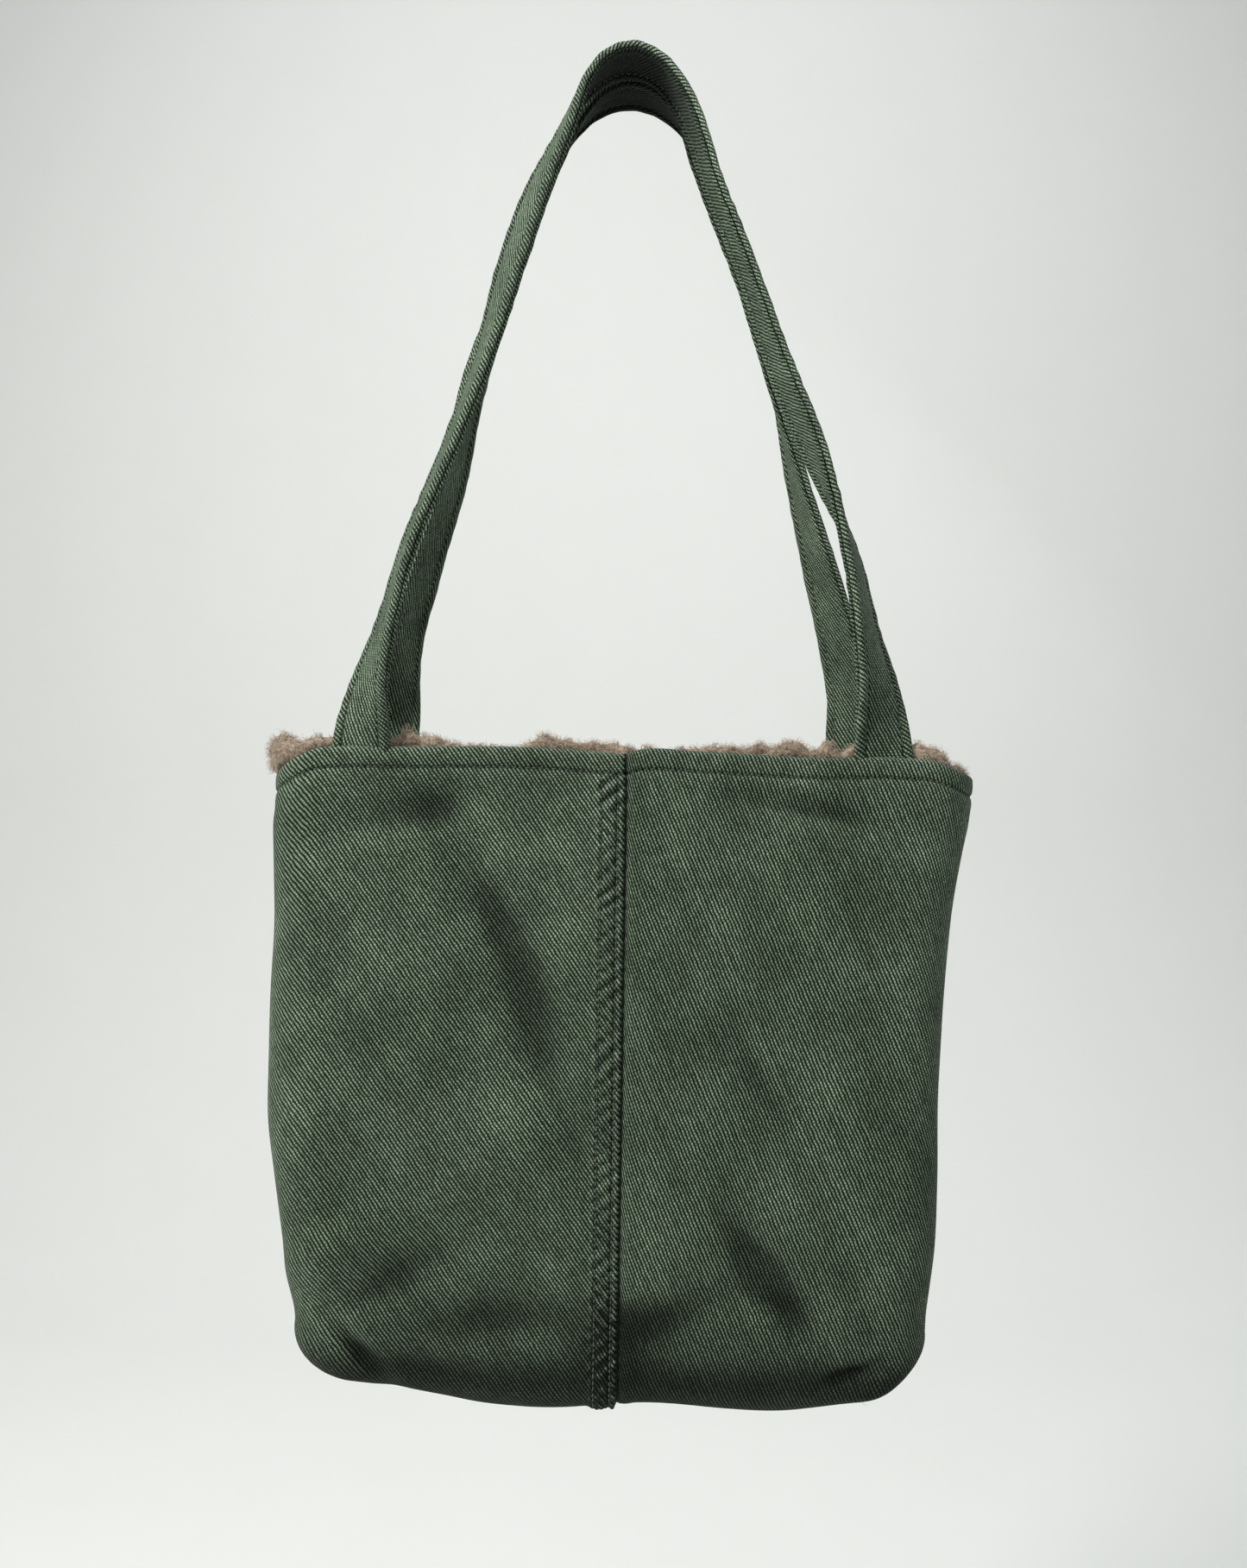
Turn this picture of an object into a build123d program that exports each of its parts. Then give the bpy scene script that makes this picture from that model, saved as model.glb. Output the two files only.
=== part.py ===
"""Lined twill tote bag with two long shoulder straps, hanging by its straps.

The frame has +Z up, +X towards the right side of the bag and +Y towards its back. The origin is
where a hook carries the bag: midway between the two straps, on the underside of their arches.
"""

from build123d import *

import os
from math import cos, radians, sin

os.makedirs("parts", exist_ok=True)

# Cloth, mm
twill_thickness = 1.2
lining_thickness = 6.0  # knitted backing with its curly pile pressed flat
cloth_gap = 0.3  # between the outer shell and the lining
thread_height = 0.5
thread_width = 0.7

# Straps, mm
strap_width = 29.0
strap_thickness = 4.0
arch_lift = 0.6  # from the origin up to the underside of the arches
strap_stitch_margin = 5.0
strap_plane_y = 35.6  # middle of the strap's thickness where it enters the rim
tab_top_z = -347.5
tab_bottom_z = -364.0
left_foot_x = -128.0
right_foot_x = 130.0

# Bag, mm: each level is (height, left side, right side, half depth)
bag_levels = [
    (-674, -146, 141, 30),
    (-655, -157.5, 153, 42),
    (-610, -165, 164, 45),
    (-560, -171.5, 166.5, 46),
    (-500, -177, 164.5, 46),
    (-430, -174, 169.5, 43),
    (-375, -173.5, 176, 39),
    (-335, -172.5, 177.5, 39),
]
corner_radius = 25.0
base_z = bag_levels[0][0]
# The rim's height along the bag: level across the front, falling at both sides
rim_points = [(-200, -378), (-170, -362), (-140, -350.5), (0, -351), (140, -352.5), (168, -358), (200, -363)]
rim_stitch_drop = 10.0

# Centre seams: a felled allowance stitched down on one panel by two rows
seam_x = 2.3
seam_fold_width = 13.0
seam_fold_height = 1.6
seam_row_offsets = (3.6, 11.3)  # from the folded edge
seam_top_drop = 11.5  # from the rim to the top of the folded strip
seam_bottom_z = base_z + 4

# Strap legs, from the foot up: (height, distance from the middle, distance from the bag's mid plane,
# turn of the strap's width, in degrees: 0 runs front to back, and above 0 the strap shows its outer
# face to the front on the front strap and to the back on the back strap)
front_left_leg = [
    (-344, -127.5, -36, 76),
    (-320, -125, -36, 45),
    (-290, -117.5, -35, 25),
    (-250, -107, -33, 20),
    (-200, -88, -29, 21),
    (-150, -71, -25, 24),
    (-100, -57.5, -22, 33),
    (-60, -44.5, -18.5, 30),
    (-36, -34, -16.5, 22),
    (-14, -24.5, -15, 12),
    (-2, -14, -14.9, 4),
]
front_right_leg = [
    (-344, 129, -36, 88),
    (-320, 127, -36, 54),
    (-290, 121, -35, 31),
    (-250, 112.5, -33, 20),
    (-200, 95, -29, -5),
    (-150, 75, -25, -6),
    (-100, 57.5, -22, -2),
    (-60, 42, -18.5, -2),
    (-36, 34.5, -16.5, -4),
    (-14, 24.5, -15, -2),
    (-2, 14, -14.9, 0),
]
back_left_leg = [
    (-344, -126, 36, 78),
    (-320, -123.5, 36, 40),
    (-290, -119.5, 35, 22),
    (-250, -107, 33, 12),
    (-200, -91, 29, 4),
    (-150, -80, 25, -3),
    (-100, -64, 22, -9),
    (-60, -50, 18.5, -15),
    (-36, -40.5, 16.5, -17),
    (-14, -28, 15, -12),
    (-2, -16, 14.9, -4),
]
back_right_leg = [
    (-344, 127, 36, 76),
    (-320, 125.5, 36, 43),
    (-290, 119.5, 35, 34),
    (-250, 108.5, 33, 22),
    (-200, 94, 29, 6),
    (-150, 80, 25, -14),
    (-100, 65, 22, -22),
    (-60, 48, 18.5, -22),
    (-36, 37.5, 16.5, -19),
    (-14, 28, 15, -12),
    (-2, 16, 14.9, -4),
]
arch_centre = (strap_thickness / 2 + arch_lift, 0, 14.9, 0)
steps_per_station = 2

# Cutting blocks reach well past the bag on every side
reach_x = 240.0
reach_y = 120.0
reach_z = base_z - 60


def bag_block(inset):
    """Return the bag's outer form, shrunk by inset on its sides and its bottom."""
    with BuildPart() as block:
        for height, left, right, half_depth in bag_levels:
            level = height + inset if height == base_z else height
            width = right - left - 2 * inset
            with BuildSketch(Plane.XY.offset(level)):
                with Locations(((left + right) / 2, 0)):
                    RectangleRounded(width, 2 * (half_depth - inset), corner_radius - inset)
        loft(ruled=True)
    return block.part


def below_rim(drop):
    """Return everything lower than a line that runs parallel to the rim, drop below it."""
    with BuildPart() as region:
        with BuildSketch(Plane.XZ):
            with BuildLine():
                top = Spline([(x, z - drop) for x, z in rim_points])
                low_right = (rim_points[-1][0], reach_z)
                low_left = (rim_points[0][0], reach_z)
                Polyline(top @ 1, low_right, low_left, top @ 0)
            make_face()
        extrude(amount=reach_y, both=True)
    return region.part


def slab(x_low, x_high, y_low, y_high, z_low, z_high):
    """Return a plain block between two corners."""
    with BuildPart() as block:
        with BuildSketch(Plane.XY.offset(z_low)):
            with Locations(((x_low + x_high) / 2, (y_low + y_high) / 2)):
                Rectangle(x_high - x_low, y_high - y_low)
        extrude(amount=z_high - z_low)
    return block.part


def save(piece, name):
    """Label a finished piece and write it to its own file."""
    piece.part.label = name
    export_step(piece.part, f"parts/{name}.step")


# Outer shell: four panels that meet at the centre seams and the side seams

outside = bag_block(0)
inside_of_twill = bag_block(twill_thickness)
rim_cut = below_rim(0)

panel_blocks = {
    "outer_front_left": (-reach_x, seam_x, -reach_y, 0),
    "outer_front_right": (seam_x, reach_x, -reach_y, 0),
    "outer_back_left": (-reach_x, seam_x, 0, reach_y),
    "outer_back_right": (seam_x, reach_x, 0, reach_y),
}
for name, (x_low, x_high, y_low, y_high) in panel_blocks.items():
    with BuildPart() as panel:
        add(outside)
        add(inside_of_twill, mode=Mode.SUBTRACT)
        add(rim_cut, mode=Mode.INTERSECT)
        add(slab(x_low, x_high, y_low, y_high, reach_z, 0), mode=Mode.INTERSECT)
    save(panel, name)

# Lining: front and back halves, let in behind the strap ends

lining_outside = bag_block(twill_thickness + cloth_gap)
lining_inside = bag_block(twill_thickness + cloth_gap + lining_thickness)
tab_room = strap_thickness / 2 + cloth_gap

lining_sides = {"lining_front": -1, "lining_back": 1}
for name, side in lining_sides.items():
    y_low, y_high = sorted((0, side * reach_y))
    with BuildPart() as lining:
        add(lining_outside)
        add(lining_inside, mode=Mode.SUBTRACT)
        add(rim_cut, mode=Mode.INTERSECT)
        add(slab(-reach_x, reach_x, y_low, y_high, reach_z, 0), mode=Mode.INTERSECT)
        for foot_x in (left_foot_x, right_foot_x):
            half = strap_width / 2 + cloth_gap
            y_low, y_high = sorted((side * reach_y, side * (strap_plane_y - tab_room)))
            pocket = slab(foot_x - half, foot_x + half, y_low, y_high, tab_bottom_z - cloth_gap, 0)
            add(pocket, mode=Mode.SUBTRACT)
    save(lining, name)

# Felled centre seams: a folded strip on the left panel of each face, with two rows of stitching


def seam_band(outer, inner, x_low, x_high, side):
    """Return an upright band between two nested forms, on the front (-1) or the back (1)."""
    y_low, y_high = sorted((0, side * reach_y))
    with BuildPart() as band:
        add(outer)
        add(inner, mode=Mode.SUBTRACT)
        add(seam_cut, mode=Mode.INTERSECT)
        add(slab(x_low, x_high, y_low, y_high, seam_bottom_z, 0), mode=Mode.INTERSECT)
    return band.part


fold_outside = bag_block(-seam_fold_height)
seam_stitch_outside = bag_block(-seam_fold_height - thread_height)
seam_cut = below_rim(seam_top_drop)

for face, side in (("front", -1), ("back", 1)):
    x_low, x_high = sorted((seam_x, seam_x + side * seam_fold_width))
    with BuildPart() as seam_fold:
        add(seam_band(fold_outside, outside, x_low, x_high, side))
    save(seam_fold, f"{face}_seam_fold")

    with BuildPart() as seam_rows:
        for offset_from_fold in seam_row_offsets:
            row_x = seam_x + side * offset_from_fold
            x_low = row_x - thread_width / 2
            x_high = row_x + thread_width / 2
            add(seam_band(seam_stitch_outside, fold_outside, x_low, x_high, side))
    save(seam_rows, f"{face}_seam_topstitch")

# One row of stitching right round the mouth

with BuildPart() as rim_topstitch:
    add(bag_block(-thread_height))
    add(outside, mode=Mode.SUBTRACT)
    add(below_rim(rim_stitch_drop - thread_width / 2), mode=Mode.INTERSECT)
    add(below_rim(rim_stitch_drop + thread_width / 2), mode=Mode.SUBTRACT)
save(rim_topstitch, "rim_topstitch")

# Strap ends, sewn in between the outer shell and the lining

for face, side in (("front", -1), ("back", 1)):
    for hand, foot_x in (("left", left_foot_x), ("right", right_foot_x)):
        with BuildPart() as strap_end:
            with BuildSketch(Plane.XY.offset(tab_bottom_z)):
                with Locations((foot_x, side * strap_plane_y)):
                    Rectangle(strap_width, strap_thickness)
            extrude(amount=tab_top_z - tab_bottom_z)
        save(strap_end, f"{face}_strap_end_{hand}")


def between(before, start, end, after, share):
    """Return the point at share of the way from start to end on a smooth curve through all four."""
    return [
        b
        + 0.5 * share * (c - a)
        + share**2 * (a - 2.5 * b + 2 * c - 0.5 * d)
        + share**3 * (1.5 * (b - c) + 0.5 * (d - a))
        for a, b, c, d in zip(before, start, end, after)
    ]


def smooth_stations(stations):
    """Add evenly spaced stations between the given ones."""
    padded = [stations[0], *stations, stations[-1]]
    result = []
    for index in range(len(stations) - 1):
        for step in range(steps_per_station):
            result.append(between(*padded[index : index + 4], step / steps_per_station))
    return result + [list(stations[-1])]


def strap_planes(left_leg, right_leg, face_side):
    """Return the strap's cross-section planes, from its left foot over the arch to its right foot.

    A plane's x axis runs across the strap's width, and its z axis runs along the strap.
    """
    arch_z, arch_x, arch_y, arch_turn = arch_centre
    arch = (arch_z, arch_x, face_side * arch_y, arch_turn)
    route = smooth_stations([*left_leg, arch, *reversed(right_leg)])
    places = [Vector(x, y, z) for z, x, y, turn in route]
    planes = []
    for index, (z, x, y, turn) in enumerate(route):
        ahead = places[min(index + 1, len(places) - 1)]
        behind = places[max(index - 1, 0)]
        along = (ahead - behind).normalized()
        if index in (0, len(route) - 1):
            along = Vector(0, 0, 1 if index == 0 else -1)
        level = Vector(along.Z, 0, -along.X).normalized()
        swing = radians(turn) * -face_side
        across = Vector(0, -cos(swing), 0) + level * sin(swing)
        planes.append(Plane(origin=places[index], x_dir=across, z_dir=along))
    return planes


def ribbon(planes, across, width, off_face, thickness):
    """Return a band through the planes: across and off_face place its middle in each of them."""
    with BuildPart() as band:
        for plane in planes:
            with BuildSketch(plane):
                with Locations((across, off_face)):
                    Rectangle(width, thickness)
        loft(ruled=True)
    return band.part


strap_legs = {
    "front": (front_left_leg, front_right_leg, -1),
    "back": (back_left_leg, back_right_leg, 1),
}
row_across = strap_width / 2 - strap_stitch_margin
row_off_face = (strap_thickness + thread_height) / 2
for face, (left_leg, right_leg, side) in strap_legs.items():
    planes = strap_planes(left_leg, right_leg, side)
    with BuildPart() as strap:
        add(ribbon(planes, 0, strap_width, 0, strap_thickness))
    save(strap, f"{face}_strap")

    with BuildPart() as strap_rows:
        for across_sign in (-1, 1):
            for face_sign in (-1, 1):
                across = across_sign * row_across
                off_face = face_sign * row_off_face
                add(ribbon(planes, across, thread_width, off_face, thread_height))
    save(strap_rows, f"{face}_strap_topstitch")
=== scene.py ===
"""The looks of the lined twill tote bag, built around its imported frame.

Shapes are worked out in millimetres in the frame's own axes and turned into metres when a mesh is
made. A panel is described by two distances along its cloth: down from the rim, and out from its
centre seam.
"""

import math

import bpy
import numpy as np
from mathutils import Matrix, Vector, noise


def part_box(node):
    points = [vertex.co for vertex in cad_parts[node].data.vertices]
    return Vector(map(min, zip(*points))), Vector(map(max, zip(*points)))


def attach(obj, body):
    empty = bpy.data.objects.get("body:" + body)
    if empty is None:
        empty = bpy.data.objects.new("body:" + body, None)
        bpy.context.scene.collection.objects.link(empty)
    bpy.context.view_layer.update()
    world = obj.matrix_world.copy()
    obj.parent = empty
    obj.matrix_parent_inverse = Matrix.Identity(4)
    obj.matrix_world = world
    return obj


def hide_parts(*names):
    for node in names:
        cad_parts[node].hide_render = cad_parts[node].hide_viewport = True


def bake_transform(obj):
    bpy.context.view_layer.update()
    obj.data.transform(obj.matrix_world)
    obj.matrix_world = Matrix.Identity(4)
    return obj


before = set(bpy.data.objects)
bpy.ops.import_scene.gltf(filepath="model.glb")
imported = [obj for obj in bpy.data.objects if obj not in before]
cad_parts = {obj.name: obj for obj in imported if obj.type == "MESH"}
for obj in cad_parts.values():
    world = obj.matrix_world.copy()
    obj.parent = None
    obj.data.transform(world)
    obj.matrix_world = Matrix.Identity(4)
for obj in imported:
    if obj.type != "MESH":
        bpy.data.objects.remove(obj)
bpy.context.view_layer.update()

MM = 0.001
rng = np.random.default_rng(7)


# ---------------------------------------------------------------- the frame's sizes, in millimetres


def node_box(*nodes):
    """Lowest and highest corner of some CAD nodes together, in millimetres."""
    boxes = [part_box(node) for node in nodes]
    low = np.min([np.array(b[0]) for b in boxes], axis=0)
    high = np.max([np.array(b[1]) for b in boxes], axis=0)
    return low / MM, high / MM


PANELS = ("outer_front_left", "outer_front_right", "outer_back_left", "outer_back_right")
shell_low, shell_high = node_box(*PANELS)
seam_x = node_box("outer_front_left")[1][0]
base_z = shell_low[2]
rim_z = shell_high[2]
strap_z = node_box("front_strap")[0][2]

# ---------------------------------------------------------------- cloth and seam sizes, millimetres

TWILL_THICK = 1.2
TWILL_PITCH = 1.75
RIM_ROLL = 1.8  # radius of the rolled rim
RIM_BAND = 10.3  # from the rim's top to its row of stitching
RIM_ALLOWANCE = 9.0  # how far the rim's cloth turns down inside
FOLD_WIDTH = 13.2  # felled allowance beside a centre seam
FOLD_HEIGHT = 1.7
FOLD_ROWS = (3.6, 11.3)  # its two rows of stitching, from the folded edge
BASE_ROUND = 16.0
WALL = 300.0  # nominal length of a panel's wall, from rim to base
HALF = 205.0  # nominal length of a panel's width, from centre seam to side seam
EXACT = 40.0  # this close to the rim or the seam, distances are true ones
SEAM_DRAG = 15.0  # how far the seam pulls the twill's lines askew on the panel under it
SEAM_DRAG_REACH = 4.5
SETTLE = (9, 30)  # over this much cloth below the rim the soft dents set in
PUCKER_HEIGHT = 0.75
LINING_DEPTH = 5.2  # from the outside of the shell to the knitted backing
PILE_BASE = 2.6  # the dense foot of the pile over the backing

STRAP_WIDTH = 29.0
STRAP_THICK = 3.4
STRAP_ROW = 5.0  # from a strap's edge to its row of stitching


# ---------------------------------------------------------------- small shape helpers


def smooth(x, low, high):
    """0 below low, 1 above high, and a smooth step between."""
    t = np.clip((x - low) / (high - low), 0, 1)
    return t * t * (3 - 2 * t)


def bump(x, centre, width):
    return np.exp(-(((x - centre) / width) ** 2))


def curve(points, x):
    """A smooth curve through points (x, y), read at x."""
    px, py = np.array(points, float).T
    slope = np.gradient(py, px)
    x = np.clip(x, px[0], px[-1])
    i = np.clip(np.searchsorted(px, x) - 1, 0, len(px) - 2)
    h = px[i + 1] - px[i]
    t = (x - px[i]) / h
    return (
        py[i] * (1 + 2 * t) * (1 - t) ** 2
        + py[i + 1] * t * t * (3 - 2 * t)
        + h * slope[i] * t * (1 - t) ** 2
        + h * slope[i + 1] * t * t * (t - 1)
    )


def waves(x, z, scale, seed):
    """Gentle irregular swells of about unit height; scale is their size in millimetres."""
    local = np.random.default_rng(seed)
    total = np.zeros(np.broadcast(x, z).shape)
    for _ in range(9):
        angle = local.uniform(0, math.tau)
        length = scale * local.uniform(0.7, 1.6)
        phase = local.uniform(0, math.tau)
        total += np.sin((x * math.cos(angle) + z * math.sin(angle)) * math.tau / length + phase)
    return total / 3.0


def dent(x, z, cx, cz, angle, length, width, depth):
    """A soft long dent: centre, angle of its long way above +X, half sizes and depth."""
    c, s = math.cos(math.radians(angle)), math.sin(math.radians(angle))
    along = (x - cx) * c + (z - cz) * s
    across = -(x - cx) * s + (z - cz) * c
    return depth * np.exp(-((along / length) ** 2) - (across / width) ** 2)


# ---------------------------------------------------------------- the bag's outer form

# share of the height above the base: left edge, right edge, half depth
SIDE_LEFT = [(0, -155.7), (0.06, -158.7), (0.12, -161.7), (0.23, -167), (0.34, -171.7), (0.42, -175),
             (0.5, -175.6), (0.62, -176), (0.74, -173.8), (0.89, -174), (1, -173.7)]
SIDE_RIGHT = [(0, 150.2), (0.06, 153.7), (0.12, 159.2), (0.23, 165.5), (0.34, 167.5), (0.5, 165.8),
              (0.61, 166), (0.74, 170.1), (0.82, 173.8), (0.9, 177), (1, 178.7)]
HALF_DEPTH = [(0, 41), (0.1, 44), (0.3, 46), (0.55, 45.5), (0.78, 43), (0.92, 40.5), (1, 38.5)]
CORNER = [(0, 30), (0.4, 30), (0.8, 27), (1, 25)]
RIM_LINE = [(-177, -365.9), (-168, -359.4), (-158, -353.9), (-149, -350.5), (-138, -349.3),
            (-110, -349.1), (-70, -348.3), (-30, -348.9), (-6, -350.5), (1, -350.9), (10, -348.8),
            (40, -349.3), (100, -351.5), (135, -350.9), (156, -352.5), (167, -356.4), (178, -359.9)]
BASE_LINE = [(-165, -652), (-152, -654.5), (-134, -660), (-117, -664.5), (-100, -667), (-83, -670),
             (-66, -672.8), (-45, -674), (-20, -674.6), (0, -674.4), (60, -675), (92, -675),
             (112, -672), (130, -667), (142, -661), (155, -652)]


def level_share(z):
    return np.clip((z - base_z) / (rim_z - base_z), 0, 1)


def side_edge(side, z):
    return curve(SIDE_LEFT if side < 0 else SIDE_RIGHT, level_share(z))


def quadrant_length(side, z):
    """Length round a quarter of the bag at height z, from centre seam to side seam."""
    radius = curve(CORNER, level_share(z))
    depth = curve(HALF_DEPTH, level_share(z))
    front = np.abs(side_edge(side, z) - seam_x) - radius
    return front, front + radius * math.pi / 2, front + radius * math.pi / 2 + depth - radius


def section(side, face, out, z, inset=0.0):
    """Point of the bag's outline at height z, a distance out from the centre seam along it."""
    share = level_share(z)
    radius = curve(CORNER, share)
    depth = curve(HALF_DEPTH, share)
    edge = side_edge(side, z)
    straight, turned, _ = quadrant_length(side, z)
    angle = np.clip((out - straight) / radius, 0, math.pi / 2)
    beyond = np.clip(out - turned, 0, None)
    reach = radius - inset
    centre_x = edge - side * radius
    x = np.where(out < straight, seam_x + side * out, centre_x + side * reach * np.sin(angle))
    y = face * (depth - radius + reach * np.cos(angle))
    y = np.where(out > turned, face * np.maximum(depth - radius - beyond, 0), y)
    x = np.where(out > turned, edge - side * inset, x)
    return x, y


def panel_rows():
    """Rows of a panel from inside the rim, over it, down the wall and under the base.

    Each row is (kind, distance down the cloth, offset along the surface normal, share).
    """
    rows = []
    for down in np.arange(RIM_ALLOWANCE, RIM_ROLL, -1.2):
        rows.append(("wall", down, -2 * RIM_ROLL, 0))
    for angle in np.linspace(180, 0, 11):
        lift = RIM_ROLL * math.sin(math.radians(angle))
        push = RIM_ROLL * (math.cos(math.radians(angle)) - 1)
        rows.append(("wall", RIM_ROLL - lift, push, 0))
    for down in np.arange(RIM_ROLL + 0.6, 26, 0.6):
        rows.append(("wall", down, 0, 0))
    for down in np.linspace(26, WALL, 180):
        rows.append(("wall", down, 0, 0))
    for share in np.linspace(0, 1, 14)[1:]:
        rows.append(("arc", WALL, 0, share))
    for share in np.linspace(0, 1, 24)[1:]:
        rows.append(("base", WALL, 0, share))
    return rows


def panel_columns(tuck):
    """Distances out from the centre seam; tuck is how far the cloth runs past it, underneath."""
    near = np.arange(-tuck, 18, 0.8)
    return np.concatenate([near, np.linspace(18, HALF, 104)])


def stretch(distance, nominal, true):
    """Map a nominal distance to a true one, keeping the first stretch exact."""
    over = (distance - EXACT) * (true - EXACT) / (nominal - EXACT)
    return np.where(distance < EXACT, distance, EXACT + over)


def base_height(x):
    return curve(BASE_LINE, x)


def panel_surface(side, face, rows, columns):
    """Grid of points, with each point's distance down and out along the cloth."""
    out_nominal = columns[None, :]
    shape = (len(rows), len(columns))
    points = np.zeros((*shape, 3))
    down_true = np.zeros(shape)
    out_true = np.zeros(shape)
    rim_x, _ = section(side, face, stretch(columns, HALF, quadrant_length(side, rim_z)[2]), rim_z)
    top = curve(RIM_LINE, rim_x)
    low_x, _ = section(side, face, stretch(columns, HALF, quadrant_length(side, base_z + 20)[2]), base_z + 20)
    bottom = base_height(low_x)
    wall_end = bottom + BASE_ROUND
    total = top - wall_end
    for i, (kind, down, _, share) in enumerate(rows):
        inset = 0.0
        if kind == "wall":
            true_down = stretch(down, WALL, total)
            z = top - true_down
        else:
            turn = math.pi / 2 * (share if kind == "arc" else 1)
            inset = BASE_ROUND * (1 - math.cos(turn))
            z = wall_end - BASE_ROUND * math.sin(turn)
            true_down = total + BASE_ROUND * turn
        section_z = np.maximum(z, wall_end)
        out = stretch(out_nominal[0], HALF, quadrant_length(side, section_z)[2])
        x, y = section(side, face, out, section_z, 0.0)
        if inset:
            straight = quadrant_length(side, section_z)[0]
            angle = np.clip((out - straight) / curve(CORNER, level_share(section_z)), 0, math.pi / 2)
            x = x - side * inset * np.sin(angle)
            y = y - face * inset * np.cos(angle)
            y = face * np.maximum(face * y, 0)
        if kind == "base":
            centre_x = np.where(np.abs(x) > 0, x * (1 - 0.10 * share * np.abs(x / 170) ** 3), x)
            flat_z = base_height(centre_x)
            z = z * (1 - share) + flat_z * share
            true_down = true_down + np.abs(y) * share
            x = x * (1 - share) + centre_x * share
            y = y * (1 - share)
        points[i, :, 0] = x
        points[i, :, 1] = y
        points[i, :, 2] = z
        down_true[i] = true_down
        out_true[i] = out
    return points, down_true, out_true


def grid_normals(points, flip):
    along_rows = np.gradient(points, axis=0)
    along_columns = np.gradient(points, axis=1)
    normal = np.cross(along_rows, along_columns)
    length = np.linalg.norm(normal, axis=2, keepdims=True)
    return flip * normal / np.maximum(length, 1e-9)


# ---------------------------------------------------------------- meshes and materials


def new_object(name, points, faces, uv=None, wear_and_painted_light=None, material=None, indices=None):
    """A smooth mesh object from points in millimetres; uv is per point."""
    mesh = bpy.data.meshes.new(name)
    sizes = np.array([faces.shape[1]] * len(faces)) if isinstance(faces, np.ndarray) else None
    if sizes is None:
        sizes = np.concatenate([[f.shape[1]] * len(f) for f in faces])
        flat = np.concatenate([f.ravel() for f in faces])
    else:
        flat = faces.ravel()
    mesh.vertices.add(len(points))
    mesh.vertices.foreach_set("co", (np.asarray(points, float) * MM).ravel())
    mesh.loops.add(len(flat))
    mesh.polygons.add(len(sizes))
    starts = np.concatenate([[0], np.cumsum(sizes)[:-1]])
    mesh.polygons.foreach_set("loop_start", starts.astype(np.int32))
    mesh.polygons.foreach_set("vertices", flat.astype(np.int32))
    mesh.update(calc_edges=True)
    mesh.polygons.foreach_set("use_smooth", np.ones(len(sizes), bool))
    if uv is not None:
        layer = mesh.uv_layers.new(name="cloth")
        layer.uv.foreach_set("vector", np.asarray(uv, float)[flat].ravel())
    if wear_and_painted_light is not None:
        attribute = mesh.attributes.new("wear_and_painted_light", "FLOAT", "POINT")
        attribute.data.foreach_set("value", np.asarray(wear_and_painted_light, np.float32).ravel())
    for one in material if isinstance(material, (list, tuple)) else [material]:
        if one is not None:
            mesh.materials.append(one)
    if indices is not None:
        mesh.polygons.foreach_set("material_index", indices.astype(np.int32))
    mesh.validate()
    mesh.update()
    obj = bpy.data.objects.new(name, mesh)
    bpy.context.scene.collection.objects.link(obj)
    return obj


def grid_faces(rows, columns, first=0, reverse=False):
    i, j = np.meshgrid(np.arange(rows - 1), np.arange(columns - 1), indexing="ij")
    a = first + i * columns + j
    quads = np.stack([a, a + 1, a + columns + 1, a + columns], axis=-1).reshape(-1, 4)
    return quads[:, ::-1] if reverse else quads


def closed_sheet(outer, inner, reverse):
    """Points and faces of a thin closed sheet between two grids of the same shape."""
    rows, columns = outer.shape[:2]
    count = rows * columns
    index = np.arange(count).reshape(rows, columns)
    edge = np.concatenate([index[0, :-1], index[:-1, -1], index[-1, :0:-1], index[:0:-1, 0]])
    after = np.roll(edge, -1)
    rim = np.stack([after, edge, edge + count, after + count], axis=-1)
    if reverse:
        rim = rim[:, ::-1]
    faces = np.concatenate([
        grid_faces(rows, columns, 0, reverse),
        grid_faces(rows, columns, count, not reverse),
        rim,
    ])
    return np.concatenate([outer.reshape(-1, 3), inner.reshape(-1, 3)]), faces


class Nodes:
    """A short way to write a material's nodes."""

    def __init__(self, name):
        self.material = bpy.data.materials.new(name)
        self.material.use_nodes = True
        self.tree = self.material.node_tree
        self.shader = self.tree.nodes["Principled BSDF"]

    def add(self, kind, inputs=None, **settings):
        node = self.tree.nodes.new(kind)
        for key, value in settings.items():
            setattr(node, key, value)
        for key, value in (inputs or {}).items():
            self.put(node.inputs[key], value)
        return node

    def put(self, socket, value):
        if isinstance(value, bpy.types.NodeSocket):
            self.tree.links.new(value, socket)
        else:
            socket.default_value = value

    def math(self, operation, a, b=0.0, c=0.0, clamp=False):
        node = self.add("ShaderNodeMath", {0: a, 1: b, 2: c}, operation=operation, use_clamp=clamp)
        return node.outputs[0]

    def noise(self, vector, scale, detail=2.0, roughness=0.5):
        node = self.add("ShaderNodeTexNoise", {"Vector": vector, "Scale": scale, "Detail": detail,
                                               "Roughness": roughness})
        return node.outputs["Fac"]

    def ramp(self, value, low, high, to_low=0.0, to_high=1.0):
        node = self.add("ShaderNodeMapRange", {0: value, 1: low, 2: high, 3: to_low, 4: to_high})
        node.interpolation_type = "SMOOTHSTEP"
        return node.outputs[0]

    def mix(self, share, a, b, blend="MIX"):
        node = self.add("ShaderNodeMix", data_type="RGBA", blend_type=blend)
        self.put(node.inputs[0], share)
        self.put(node.inputs[6], a)
        self.put(node.inputs[7], b)
        return node.outputs[2]


def rgb(r, g, b):
    return (r, g, b, 1.0)


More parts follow.
